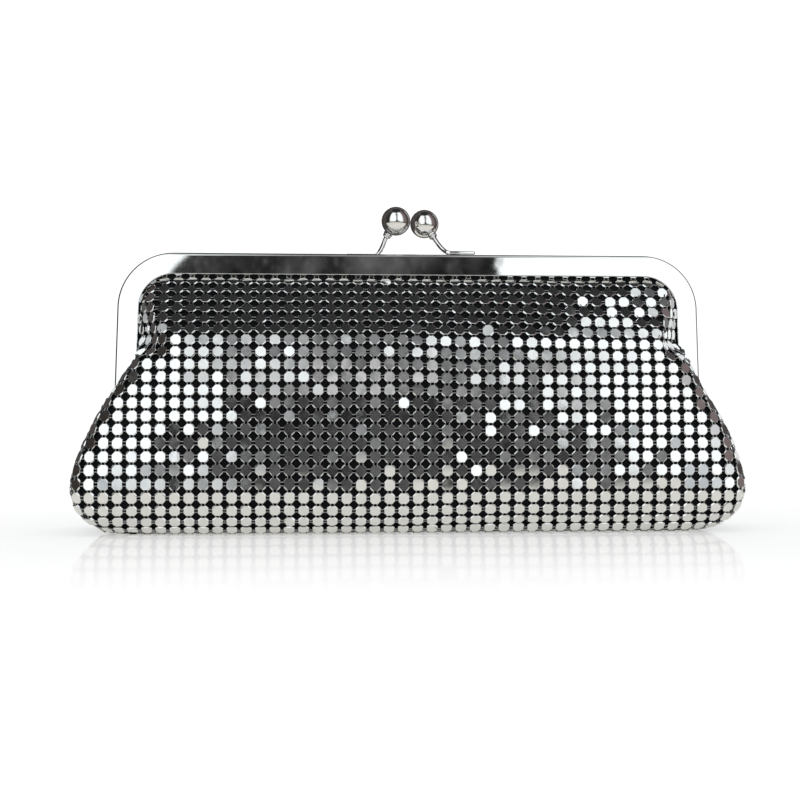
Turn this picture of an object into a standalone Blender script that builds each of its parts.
"""Metal-mesh evening clutch with a kiss-lock frame.

Frame of reference: metres, +Z up, the bag stands on z = 0, its front faces -Y and its width runs along X.
The origin is the middle of the flat base. Design sizes below are in millimetres; MM turns them into metres.

The two half frames turn about one axis, along X through the two hinge rivets. Everything that moves with a
half frame (clasp, packing cord, the top of the mesh and of the lining) has its origin on that axis.
Throughout, side is -1 for the front half and +1 for the rear half; hand is -1 at -X and +1 at +X.
"""

import functools
import math

import bmesh
import bpy
from mathutils import Vector

for old in list(bpy.data.objects):
    bpy.data.objects.remove(old)

MM = 0.001

# ---------------------------------------------------------------- driving dimensions (mm, degrees)
HINGE_Z = 46.0  # height of the hinge axis
HALF_OPEN_DEG = 45.0  # how far each half frame turns from closed
AXIS = (0.0, 0.0, HINGE_Z)

FRAME_TOP = 99.4  # top of the closed frame
FRAME_HALF_W = 104.8  # half width of the frame at its corners
FRAME_SPLAY = 0.0345  # the arms lean out by this much per mm of height
FRAME_CORNER_R = 20.0  # outer radius of the frame's corners
CORNER_X = FRAME_HALF_W - FRAME_CORNER_R  # centre of the corner arcs
CORNER_Z = FRAME_TOP - FRAME_CORNER_R
FRAME_DEPTH = 5.4  # outer face of a half frame to the bag's middle plane
FRAME_FACE_W = 7.6  # width of the polished face
FRAME_BACK_W = 6.0  # width of the channel's hidden wall
FRAME_WALL = 0.8  # sheet thickness
FRAME_GAP = 0.25  # half of the gap between the closed halves
FRAME_ROUND = 0.9  # rounding of the face's outer edge
FRAME_BACK_ROUND = 0.5  # rounding of the hidden wall's outer edge
FACE_CHAMFER = 0.25  # chamfer of the face's inner edge
ARM_END = HINGE_Z + 5.5  # the channel stops here and only an ear goes on to the rivet

MESH_T = 1.6  # plates and rings together
MESH_EDGE_T = 1.2  # the same, pressed flat where the frame holds it
PAD_T = 2.0
BOARD_T = 1.4
LINING_T = 0.5
LAYER_GAP = 0.3
INSIDE_W = 97.4  # half width of the mesh between the frame's arms
SECTION_POWER = 5.0  # plan section: |x/W|^5 + |y/D|^2 = 1
PLAN_STEPS = 40  # points round the bag

# the bag's outer surface: (height, half width, half depth)
SECTIONS = (
    (0.0, 108.5, 19.5),
    (1.2, 112.5, 22.8),
    (3.2, 116.0, 24.8),
    (6.0, 118.6, 26.0),
    (10.0, 120.3, 26.5),
    (16.0, 121.2, 26.7),
    (21.0, 120.6, 26.7),
    (29.0, 118.1, 26.7),
    (38.0, 114.2, 26.6),
    (46.0, 109.4, 26.2),
    (51.0, 105.8, 25.7),
    (56.5, 102.0, 25.0),
    (61.0, 100.0, 24.0),
    (66.0, 98.4, 22.3),
    (70.0, 97.4, 20.2),
    (80.0, 97.0, 12.6),
    (88.0, 96.9, 6.4),
    (91.8, 96.8, 3.75),
)


# ---------------------------------------------------------------- the bag's outer surface
def smoothstep(start, end, value):
    t = min(1.0, max(0.0, (value - start) / (end - start)))
    return t * t * (3 - 2 * t)


def station_slope(column, k):
    """Slope of a SECTIONS column at station k: harmonic mean of its neighbours, so it never overshoots."""

    def rise(i):
        lower, upper = SECTIONS[i], SECTIONS[i + 1]
        return (upper[column] - lower[column]) / (upper[0] - lower[0])

    last = len(SECTIONS) - 1
    if k == 0:
        return rise(0)
    if k == last:
        return rise(last - 1)
    below, above = rise(k - 1), rise(k)
    return 0.0 if below * above <= 0 else 2 * below * above / (below + above)


@functools.cache
def section(z):
    """Half width and half depth of the outer surface at a height, by cubic Hermite between SECTIONS."""
    if z <= SECTIONS[0][0]:
        return SECTIONS[0][1:]
    if z >= SECTIONS[-1][0]:
        return SECTIONS[-1][1:]
    k = max(i for i in range(len(SECTIONS) - 1) if SECTIONS[i][0] <= z)
    lower, upper = SECTIONS[k], SECTIONS[k + 1]
    span = upper[0] - lower[0]
    t = (z - lower[0]) / span
    return tuple(
        (2 * t**3 - 3 * t**2 + 1) * lower[column]
        + (t**3 - 2 * t**2 + t) * span * station_slope(column, k)
        + (-2 * t**3 + 3 * t**2) * upper[column]
        + (t**3 - t**2) * span * station_slope(column, k + 1)
        for column in (1, 2)
    )


def depth(x, z, half_width=None):
    """Half depth of the outer surface at (x, z); half_width replaces the section's own."""
    section_w, section_d = section(z)
    share = abs(x / (half_width or section_w))
    return section_d * math.sqrt(max(0.0, 1.0 - share**SECTION_POWER))


def radius(x, z, half_width=None):
    """Distance of the outer surface from the hinge axis at (x, z)."""
    return math.hypot(depth(x, z, half_width), z - HINGE_Z)


def plan_direction(i):
    """Unit plan direction (x, y) of point i round the bag."""
    angle = 2 * math.pi * i / PLAN_STEPS
    c = math.cos(angle)
    return math.copysign(abs(c) ** (2 / SECTION_POWER), c), math.sin(angle)


PLAN = [plan_direction(i) for i in range(PLAN_STEPS)]


# ---------------------------------------------------------------- objects and parents
def add_object(name, bm, mat, origin=(0.0, 0.0, 0.0), sharp_deg=40.0):
    """Makes the object from a bmesh in mm; origin (mm) becomes the object's origin."""
    bmesh.ops.recalc_face_normals(bm, faces=bm.faces[:])
    if bm.calc_volume(signed=True) < 0:
        bmesh.ops.reverse_faces(bm, faces=bm.faces[:])
    for v in bm.verts:
        v.co = (v.co - Vector(origin)) * MM
    mesh = bpy.data.meshes.new(name)
    bm.to_mesh(mesh)
    bm.free()
    mesh.shade_smooth()
    mesh.set_sharp_from_angle(angle=math.radians(sharp_deg))
    mesh.materials.append(mat)
    obj = bpy.data.objects.new(name, mesh)
    obj.location = Vector(origin) * MM
    bpy.context.scene.collection.objects.link(obj)
    return obj


def half_axis(name):
    """Empty on the hinge axis that carries one half frame."""
    empty = bpy.data.objects.new(name, None)
    empty.location = Vector(AXIS) * MM
    bpy.context.scene.collection.objects.link(empty)
    return empty


# label, side, empty
HALVES = (("front", -1, half_axis("front_half_axis")), ("rear", 1, half_axis("rear_half_axis")))
bpy.context.view_layer.update()  # the parent inverses below need the empties' world matrices


def add_on_half(name, bm, mat, half, sharp_deg=40.0):
    """An object that moves with a half frame, its origin on the hinge axis."""
    obj = add_object(name, bm, mat, AXIS, sharp_deg)
    obj.parent = half
    obj.matrix_parent_inverse = half.matrix_world.inverted()
    return obj


def boolean(obj, cutter, operation):
    modifier = obj.modifiers.new(operation.title(), "BOOLEAN")
    modifier.operation = operation
    modifier.object = cutter
    modifier.solver = "EXACT"
    cutter.hide_render = True
    cutter.display_type = "WIRE"


# ---------------------------------------------------------------- mesh builders, all in mm
def join_rings(bm, ring_a, ring_b):
    """Quads between two closed rings of verts."""
    count = len(ring_a)
    for j in range(count):
        k = (j + 1) % count
        bm.faces.new((ring_a[j], ring_a[k], ring_b[k], ring_b[j]))


def loft(rings):
    """A capped body through closed rings of points."""
    bm = bmesh.new()
    made = [[bm.verts.new(p) for p in ring] for ring in rings]
    for ring_a, ring_b in zip(made, made[1:]):
        join_rings(bm, ring_a, ring_b)
    bm.faces.new(made[0][::-1])
    bm.faces.new(made[-1])
    return bm


def prism(points, offset):
    """A flat outline extruded by the vector offset."""
    bm = bmesh.new()
    face = bm.faces.new([bm.verts.new(p) for p in points])
    out = bmesh.ops.extrude_face_region(bm, geom=[face], use_keep_orig=True)
    moved = [g for g in out["geom"] if isinstance(g, bmesh.types.BMVert)]
    bmesh.ops.translate(bm, verts=moved, vec=offset)
    return bm


def sheet(*point_grids):
    """A thin body between two matching grids of points, closed round its rim."""
    bm = bmesh.new()
    a, b = [[[bm.verts.new(p) for p in row] for row in grid] for grid in point_grids]
    rows, cols = len(a) - 1, len(a[0]) - 1
    for grid in (a, b):
        for j in range(rows):
            for i in range(cols):
                bm.faces.new((grid[j][i], grid[j][i + 1], grid[j + 1][i + 1], grid[j + 1][i]))
    for i in range(cols):
        for j in (0, rows):
            bm.faces.new((a[j][i], a[j][i + 1], b[j][i + 1], b[j][i]))
    for j in range(rows):
        for i in (0, cols):
            bm.faces.new((a[j][i], a[j + 1][i], b[j + 1][i], b[j][i]))
    return bm


def spun(profile, centre, axis, steps, closed=False):
    """A turned body; profile is (distance along the axis, radius), closed for a ring-shaped body."""
    axis = Vector(axis).normalized()
    across = axis.orthogonal().normalized()
    bm = bmesh.new()
    verts = [bm.verts.new(Vector(centre) + axis * a + across * r) for a, r in profile]
    edges = [bm.edges.new(pair) for pair in zip(verts, verts[1:])]
    if closed:
        edges.append(bm.edges.new((verts[-1], verts[0])))
    bmesh.ops.spin(
        bm,
        geom=verts + edges,
        cent=centre,
        axis=axis,
        angle=2 * math.pi,
        steps=steps,
        use_merge=True,
        use_duplicate=False,
    )
    bmesh.ops.remove_doubles(bm, verts=bm.verts[:], dist=1e-4)
    return bm


def oval(centre, wide, high, count):
    """Ring of points round centre; wide and high are the half-axis vectors."""
    angles = [2 * math.pi * k / count for k in range(count)]
    return [centre + wide * math.cos(a) + high * math.sin(a) for a in angles]


# ---------------------------------------------------------------- materials
def material(name, colour, roughness, metallic):
    mat = bpy.data.materials.new(name)
    mat.use_nodes = True
    shader = mat.node_tree.nodes["Principled BSDF"]
    shader.inputs["Base Color"].default_value = (*colour, 1.0)
    shader.inputs["Roughness"].default_value = roughness
    shader.inputs["Metallic"].default_value = metallic
    mat.diffuse_color = (*colour, 1.0)
    return mat


NICKEL = material("polished_nickel", colour=(0.84, 0.84, 0.85), roughness=0.06, metallic=1.0)
ALUMINIUM = material("mesh_aluminium", colour=(0.62, 0.63, 0.64), roughness=0.2, metallic=1.0)
SATIN = material("lining_satin", colour=(0.02, 0.02, 0.022), roughness=0.45, metallic=0.0)
FOAM = material("padding_foam", colour=(0.05, 0.05, 0.05), roughness=0.9, metallic=0.0)
CARD = material("base_card", colour=(0.42, 0.36, 0.28), roughness=0.85, metallic=0.0)
PAPER = material("paper_cord", colour=(0.62, 0.55, 0.42), roughness=0.9, metallic=0.0)


# ---------------------------------------------------------------- half frames
EAR_R = 4.0
EAR_Y = (0.45, 4.4)  # the ear's strap, from the middle plane
EAR_NECK_Z = ARM_END - 0.3  # the ear is drawn in to its strap here
EAR_TOP_Z = ARM_END + 4.5
EAR_X = {-1: (104.7, 105.5), 1: (103.5, 104.4)}  # by side: inner and outer face
EAR_HOLE_R = 1.27
HOLE_X = 104.5  # middle of the hole cutter
HOLE_LEN = 8.0
# block that joins a rear ear to its arm
BRIDGE_X = (EAR_X[1][0] + 0.25, 105.35)
BRIDGE_Y = 2.8  # centre, from the middle plane
BRIDGE_Z = ARM_END + 2.4  # centre
BRIDGE_DEPTH = 2.6
BRIDGE_H = 3.4

HANDS = (("l", -1), ("r", 1))


def outline(inset, end_z, corner_steps=12):
    """(x, z) along the frame from the arm end at -X, over the top, to the one at +X, moved in by inset."""
    top, r = FRAME_TOP - inset, FRAME_CORNER_R - inset
    right = [(CORNER_X / 2, top), (CORNER_X, top)]
    for i in range(1, corner_steps + 1):
        a = math.pi / 2 * (1 - i / corner_steps)
        right.append((CORNER_X + r * math.cos(a), CORNER_Z + r * math.sin(a)))
    right.append((FRAME_HALF_W - inset + FRAME_SPLAY * (CORNER_Z - end_z), end_z))
    left = [(-x, z) for x, z in reversed(right)]
    return left + [(0.0, top)] + right


def frame_profile(side):
    """The channel's section as (inset, y)."""
    outer, inner, wall = FRAME_DEPTH, FRAME_GAP, FRAME_WALL
    points = [
        (FRAME_FACE_W, outer - wall),
        (FRAME_FACE_W, outer - FACE_CHAMFER),
        (FRAME_FACE_W - FACE_CHAMFER, outer),
    ]
    r = FRAME_ROUND
    for i in range(4):
        a = math.pi / 2 * i / 3
        points.append((r - r * math.sin(a), outer - r + r * math.cos(a)))
    r = FRAME_BACK_ROUND
    for i in range(3):
        a = math.pi / 2 * i / 2
        points.append((r - r * math.cos(a), inner + r - r * math.sin(a)))
    points += [
        (FRAME_BACK_W, inner),
        (FRAME_BACK_W, inner + wall),
        (wall, inner + wall),
        (wall, outer - wall),
    ]
    return [(inset, side * y) for inset, y in points]


def hull(points):
    """Convex hull of (y, z) points, counter-clockwise with y to the right and z up."""
    points = sorted(set(points))

    def turn(p, q, r):
        return (q[0] - p[0]) * (r[1] - p[1]) - (q[1] - p[1]) * (r[0] - p[0])

    def chain(ordered):
        out = []
        for p in ordered:
            while len(out) > 1 and turn(out[-2], out[-1], p) <= 0:
                out.pop()
            out.append(p)
        return out[:-1]

    return chain(points) + chain(points[::-1])


def ear_ring(side):
    """(y, z) outline of an ear: the rivet's disk, drawn in to a strap that overlaps the channel."""
    angles = [2 * math.pi * i / 24 for i in range(24)]
    disk = [(EAR_R * math.cos(a), HINGE_Z + EAR_R * math.sin(a)) for a in angles]
    low_y, high_y = sorted(side * y for y in EAR_Y)
    ring = hull(disk + [(low_y, EAR_NECK_Z), (high_y, EAR_NECK_Z)])
    after = ring.index((high_y, EAR_NECK_Z)) + 1
    ring[after:after] = [(high_y, EAR_TOP_Z), (low_y, EAR_TOP_Z)]
    return ring


def ear_plate(name, side, hand):
    inner_x, outer_x = EAR_X[side]
    points = [(hand * inner_x, y, z) for y, z in ear_ring(side)]
    return add_object(name, prism(points, (hand * (outer_x - inner_x), 0, 0)), NICKEL)


def ear_bridge(name, side, hand):
    x0, x1 = BRIDGE_X
    bm = bmesh.new()
    bmesh.ops.create_cube(bm, size=1.0)
    for v in bm.verts:
        v.co = Vector(
            (
                hand * ((x0 + x1) / 2 + v.co.x * (x1 - x0)),
                side * (BRIDGE_Y + v.co.y * BRIDGE_DEPTH),
                BRIDGE_Z + v.co.z * BRIDGE_H,
            )
        )
    return add_object(name, bm, NICKEL)


def rivet_hole(tag, hand):
    bm = bmesh.new()
    bmesh.ops.create_cone(
        bm,
        cap_ends=True,
        segments=24,
        radius1=EAR_HOLE_R,
        radius2=EAR_HOLE_R,
        depth=HOLE_LEN,
    )
    for v in bm.verts:
        v.co = Vector((hand * HOLE_X + v.co.z, v.co.x, HINGE_Z + v.co.y))
    return add_object(f"rivet_hole_{tag}", bm, NICKEL)


def frame_half(label, side, half, holes):
    name = f"{label}_frame"
    profile = frame_profile(side)
    tracks = [outline(inset, ARM_END) for inset, _ in profile]
    rings = [
        [(x, y, z) for (x, z), (_, y) in zip(points, profile)] for points in zip(*tracks)
    ]
    frame = add_on_half(name, loft(rings), NICKEL, half)
    for tag, hand in HANDS:
        boolean(frame, ear_plate(f"{name}_ear_{tag}_plate", side, hand), "UNION")
        if side > 0:
            boolean(frame, ear_bridge(f"{name}_ear_{tag}_bridge", side, hand), "UNION")
    for hole in holes:
        boolean(frame, hole, "DIFFERENCE")


HOLES = [rivet_hole(tag, hand) for tag, hand in HANDS]
for label, side, half in HALVES:
    frame_half(label, side, half, HOLES)

# ---------------------------------------------------------------- hinge rivets
RIVET_SHANK_R = 1.2
RIVET_HEAD_R = 2.4
# (distance from the middle of the bag, radius), from the inner head to the outer head
RIVET_PROFILE = (
    (102.6, 0.0),
    (102.6, 1.5),
    (102.85, 2.0),
    (103.25, 2.0),
    (103.25, RIVET_SHANK_R),
    (105.7, RIVET_SHANK_R),
    (105.7, RIVET_HEAD_R),
    (106.05, RIVET_HEAD_R),
    (106.4, 1.7),
    (106.55, 0.9),
    (106.6, 0.0),
)
for label, hand in (("left", -1), ("right", 1)):
    bm = spun(RIVET_PROFILE, AXIS, (hand, 0, 0), steps=20)
    add_object(f"hinge_rivet_{label}", bm, NICKEL, AXIS)

# ---------------------------------------------------------------- kiss-lock clasp
# places are the front half's; the rear half's are their half-turn copies about Z
BALL_R = 5.2
BALL = Vector((5.55, 4.0, 111.4))  # closed, each ball sits past the middle plane
BALL_SOCKET = 3.9  # depth of the ball's blind bore, from its pole
NECK_AIM = Vector((8.3, 1.25, 106.8))  # the post enters the ball along the line from here
COLLAR_R = 1.6
COLLAR_BORE_R = 0.9
COLLAR_LEN = 1.5
WIRE_R = 0.75
WIRE_IN_BALL = 2.6  # the wire runs on past the collar by this much
FOOT_END_X = 23.3
FOOT_START_X = 14.2
FOOT_Y = -2.8
FOOT_LIFT = 0.1  # underside of the foot above the frame's top
FOOT_HALF_W = 1.45
FOOT_HALF_H = {-1: 0.7, 1: 0.32}  # by side: the rear foot is thinner

TOWARD_BALL = (BALL - NECK_AIM).normalized()
NECK = BALL - TOWARD_BALL * (BALL_R + 0.12 + COLLAR_LEN)


def post_stations(foot_half_h):
    """(place, half width, half height) along the wire: flat foot, bend, round post into the ball."""
    foot_z = FRAME_TOP + FOOT_LIFT + foot_half_h

    def foot_at(x):
        return Vector((x, FOOT_Y, foot_z))

    stations = [
        (foot_at(FOOT_END_X), FOOT_HALF_W * 0.42, foot_half_h * 0.462),
        (foot_at(FOOT_END_X - 0.5), FOOT_HALF_W, foot_half_h),
        (foot_at(FOOT_START_X + 2.5), FOOT_HALF_W, foot_half_h),
    ]
    # the bend is a cubic Bezier from the foot to the neck
    knee = foot_at(FOOT_START_X)
    knee_pull = knee + Vector((-2.6, 0, 0))
    neck_pull = NECK - TOWARD_BALL * 1.8
    steps = 9
    for i in range(steps + 1):
        t = i / steps
        place = (
            knee * (1 - t) ** 3
            + knee_pull * 3 * t * (1 - t) ** 2
            + neck_pull * 3 * t * t * (1 - t)
            + NECK * t**3
        )
        roundness = smoothstep(0.0, 0.35, t)
        half_w = FOOT_HALF_W + (WIRE_R - FOOT_HALF_W) * roundness
        half_h = foot_half_h + (WIRE_R - foot_half_h) * roundness
        stations.append((place, half_w, half_h))
    stations.append((NECK + TOWARD_BALL * (COLLAR_LEN + WIRE_IN_BALL), WIRE_R, WIRE_R))
    return stations


def clasp_post(side):
    stations = post_stations(FOOT_HALF_H[side])
    rings = []
    for i, (place, half_w, half_h) in enumerate(stations):
        before = stations[max(0, i - 1)][0]
        after = stations[min(len(stations) - 1, i + 1)][0]
        along = (after - before).normalized()
        wide = Vector((0, 1, 0))
        wide = (wide - along * wide.dot(along)).normalized()
        high = along.cross(wide)
        ring = oval(place, wide * half_w, high * half_h, 10)
        rings.append([on_side(p, side) for p in ring])
    return loft(rings)


def ball_profile():
    """The sphere with its bore, from the bore's floor round to the far pole."""
    profile = [
        (-BALL_R + BALL_SOCKET, 0.0),
        (-BALL_R + BALL_SOCKET, COLLAR_BORE_R),
        (-math.sqrt(BALL_R**2 - COLLAR_BORE_R**2), COLLAR_BORE_R),
    ]
    first = math.asin(COLLAR_BORE_R / BALL_R)
    steps = 11
    for i in range(1, steps):
        a = first + (math.pi - first) * i / steps
        profile.append((-BALL_R * math.cos(a), BALL_R * math.sin(a)))
    return profile + [(BALL_R, 0.0)]


def collar_profile():
    top = -BALL_R - 0.1
    return [
        (top, COLLAR_BORE_R),
        (top, COLLAR_R * 0.85),
        (top - 0.35, COLLAR_R),
        (top - COLLAR_LEN + 0.4, COLLAR_R),
        (top - COLLAR_LEN, COLLAR_R * 0.8),
        (top - COLLAR_LEN, COLLAR_BORE_R),
    ]


def on_side(p, side):
    """A front-half place, given a half turn for the rear half."""
    return Vector((-p[0], -p[1], p[2])) if side > 0 else Vector(p)


for label, side, half in HALVES:
    add_on_half(f"{label}_clasp_post", clasp_post(side), NICKEL, half, sharp_deg=50)
    centre = on_side(BALL, side)
    axis = (centre - on_side(NECK, side)).normalized()
    bm = spun(ball_profile(), centre, axis, steps=22)
    add_on_half(f"{label}_clasp_ball", bm, NICKEL, half, sharp_deg=50)
    bm = spun(collar_profile(), centre, axis, steps=16, closed=True)
    add_on_half(f"{label}_clasp_collar", bm, NICKEL, half)

# ---------------------------------------------------------------- where the soft goods part at the hinge
PART_GAP = 0.3  # clearance on each side of the parting radius
STILL_MAX_Z = HINGE_Z + 24  # nothing that stays with the bag goes higher
STILL_STEP = 0.25


def part_radius(x):
    """Cloth below this radius stays with the bag; cloth beyond it swings with a half frame."""
    x = min(abs(x), INSIDE_W - 0.4)
    z = HINGE_Z + 6.0
    while math.degrees(math.atan2(depth(x, z, INSIDE_W), z - HINGE_Z)) > HALF_OPEN_DEG:
        z += 0.1
    swing = radius(x, z, INSIDE_W) - MESH_EDGE_T - 0.4
    still = max(radius(x, HINGE_Z + rise) for rise in (0.0, 0.5, 1.0, 1.5, 2.0)) + 0.3
    return max(swing, still)


def still_top(share, cap, drop):
    """Rim height of a layer that stays with the bag, where x is share of the section's half width.

    cap is (from x, to x, height): between the two x the highest rim falls from STILL_MAX_Z to height."""
    cap_from, cap_to, cap_z = cap

    def x_at(z):
        return abs(section(z)[0] * share)

    def ceiling(x):
        return STILL_MAX_Z - (STILL_MAX_Z - cap_z) * smoothstep(cap_from, cap_to, x)

    z = HINGE_Z
    while z < STILL_MAX_Z:
        above = z + STILL_STEP
        x = x_at(above)
        reach = radius(min(x, section(z)[0]), above)
        if above > ceiling(x) or reach > part_radius(x) - PART_GAP:
            break
        z = above
    return min(z, ceiling(x_at(z))) - drop


# ---------------------------------------------------------------- layers that stay with the bag
UPPER_FROM_Z = 30.0  # above this the rings are spaced in shares of the way to the rim
UPPER_SHARES = (0.25, 0.5, 0.75, 1.0)


def tub(name, mat, inset, thick, base_z, heights, cap, drop):
    """A thin-walled soft shell, open at the top: outer surface inset from the bag's, base at base_z."""
    tops = [still_top(share, cap, drop) for share, _ in PLAN]
    bm = bmesh.new()
    rims = []
    for wall_inset, floor in ((inset, base_z), (inset + thick, base_z + thick)):
        levels = [[z] * PLAN_STEPS for z in [floor] + [h for h in heights if h > floor + 0.6]]
        for share in UPPER_SHARES:
            levels.append([UPPER_FROM_Z + (top - UPPER_FROM_Z) * share for top in tops])
        rings = []
        for level in levels:
            ring = []
            for (plan_x, plan_y), z in zip(PLAN, level):
                half_w, half_d = section(z)
                point = ((half_w - wall_inset) * plan_x, (half_d - wall_inset) * plan_y, z)
                ring.append(bm.verts.new(point))
            rings.append(ring)
        for ring_a, ring_b in zip(rings, rings[1:]):
            join_rings(bm, ring_a, ring_b)
        bm.faces.new(rings[0])
        rims.append(rings[-1])
    join_rings(bm, *rims)
    return add_object(name, bm, mat)


PAD_INSET = MESH_T + LAYER_GAP
LINING_INSET = PAD_INSET + PAD_T + LAYER_GAP  # also the height of the base board's underside

tub(
    "mesh_shell", ALUMINIUM, inset=0.0, thick=MESH_T, base_z=0.0,
    heights=(1.2, 3.2, 6.0, 12.0, 21.0, 30.0), cap=(80.0, 95.5, HINGE_Z - 0.6), drop=0.0,
)
tub(
    "padding_shell", FOAM, inset=PAD_INSET, thick=PAD_T, base_z=PAD_INSET,
    heights=(3.2, 6.0, 12.0, 21.0, 30.0), cap=(78.0, 93.0, HINGE_Z - 6.5), drop=1.0,
)

# stiff card between the padding and the lining
BOARD_HALF_W = 106.0
BOARD_HALF_D = 16.8
rim = [(BOARD_HALF_W * x, BOARD_HALF_D * y, LINING_INSET) for x, y in PLAN]
add_object("base_board", prism(rim, (0, 0, BOARD_T)), CARD)

tub(
    "lining_pouch", SATIN, inset=LINING_INSET, thick=LINING_T,
    base_z=LINING_INSET + BOARD_T + LAYER_GAP,
    heights=(12.0, 21.0, 30.0), cap=(78.0, 93.0, HINGE_Z - 7.0), drop=1.5,
)

# slip pocket inside the lining's rear wall
POCKET_HALF_W = 46.0
POCKET_Z = 14.0
POCKET_H = 41.0
POCKET_INSET = LINING_INSET + LINING_T + 0.5


def pocket_grid(inset, cols=10, rows=5):
    xs = [-POCKET_HALF_W + 2 * POCKET_HALF_W * i / cols for i in range(cols + 1)]
    zs = [POCKET_Z + POCKET_H * j / rows for j in range(rows + 1)]
    return [[(x, depth(x, z) - inset, z) for x in xs] for z in zs]


pocket = sheet(pocket_grid(POCKET_INSET), pocket_grid(POCKET_INSET + LINING_T))
add_object("slip_pocket", pocket, SATIN)


# ---------------------------------------------------------------- cloth held in the half frames
LEAVE_OFFSET = 0.6  # the bulge passes the flat cloth by this much before it takes over
LEAVE_BLEND = 1.2  # softness of that change
LEAVE_W = 2.6  # width below the channel over which the cloth stops being flat


def channel_top(x, inset):
    """Height at x of the frame outline moved in by inset."""
    r = FRAME_CORNER_R - inset
    x = abs(x)
    if x <= CORNER_X:
        return CORNER_Z + r
    return CORNER_Z + math.sqrt(max(0.0, r * r - (x - CORNER_X) ** 2))


def swing_sheet(name, mat, side, half, in_frame, flat_y, layer, thick, cols, rows):
    """Cloth from the frame's channel down to where it parts from the bag.

    in_frame: how far its edge is from the frame's outer edge; flat_y: its outer face inside the channel;
    layer: how far its outer face lies inside the bag's outer surface."""

    def free_y(x, z):
        """The bag's bulge, leaving flat_y smoothly."""
        bulge = depth(min(abs(x), INSIDE_W), min(z, SECTIONS[-1][0]), INSIDE_W) - layer
        if bulge <= flat_y - 4:
            return flat_y
        excess = min(40.0, (bulge - flat_y - LEAVE_OFFSET) / LEAVE_BLEND)
        return flat_y + math.log1p(math.exp(excess)) * LEAVE_BLEND

    def flatness(x, z):
        """1 inside the channel, 0 from LEAVE_W outside it."""
        edge = FRAME_FACE_W + 0.2
        gap = channel_top(x, edge) - z
        if z < CORNER_Z:
            gap = min(gap, FRAME_HALF_W - edge - abs(x))
        return 1.0 - smoothstep(0.0, LEAVE_W, gap)

    def y_at(x, z):
        flat = flatness(x, z)
        return flat_y * flat + free_y(x, z) * (1 - flat)

    def low(x):
        """Lowest height at x that clears both the parting radius and the opening angle."""
        x = min(abs(x), INSIDE_W - 0.6)
        need = part_radius(x) + PART_GAP + thick
        z = HINGE_Z + 8.0
        while True:
            y, rise = y_at(x, z), z - HINGE_Z
            angle = math.degrees(math.atan2(y, rise))
            if math.hypot(y, rise) >= need and angle <= HALF_OPEN_DEG - 0.5:
                return z
            z += 0.1

    half_w = FRAME_HALF_W - in_frame
    visible_w = FRAME_HALF_W - FRAME_FACE_W - 0.5
    right = [visible_w * math.sin(math.pi / 2 * i / cols) for i in range(1, cols + 1)]
    xs = [-half_w] + [-x for x in right[::-1]] + [0.0] + right + [half_w]
    columns = []
    for x in xs:
        top = channel_top(x, in_frame)
        z0, z1 = low(x), min(top - 1.0, channel_top(x, FRAME_FACE_W + 0.4))
        columns.append([z0 + (z1 - z0) * j / (rows - 1) for j in range(rows)] + [top])
    grids = [
        [[(x, side * (y_at(x, z) - more), z) for x, z in zip(xs, row)] for row in zip(*columns)]
        for more in (0.0, thick)
    ]
    add_on_half(name, sheet(*grids), mat, half)


CORD_R = 0.5
CORD_Y = 1.7  # from the middle plane
CORD_INSET = 3.0  # from the frame's outer edge
CORD_END_Z = HINGE_Z + 12.0


def cord(name, side, half):
    """Paper cord in the channel, on the cloth's inner side."""
    track = outline(CORD_INSET, CORD_END_Z, corner_steps=8)
    y_axis = Vector((0, 1, 0))
    rings = []
    for i, (x, z) in enumerate(track):
        before, after = track[max(0, i - 1)], track[min(len(track) - 1, i + 1)]
        along = Vector((after[0] - before[0], 0, after[1] - before[1])).normalized()
        across = y_axis.cross(along)
        rings.append(oval(Vector((x, side * CORD_Y, z)), across * CORD_R, y_axis * CORD_R, 6))
    add_on_half(name, loft(rings), PAPER, half)


for label, side, half in HALVES:
    swing_sheet(
        f"mesh_{label}_upper", ALUMINIUM, side, half,
        in_frame=4.0, flat_y=4.3, layer=0.0, thick=MESH_EDGE_T, cols=12, rows=7,
    )
    swing_sheet(
        f"lining_{label}_upper", SATIN, side, half,
        in_frame=4.2, flat_y=2.85, layer=1.5, thick=LINING_T, cols=10, rows=6,
    )
    cord(f"frame_cord_{label}", side, half)
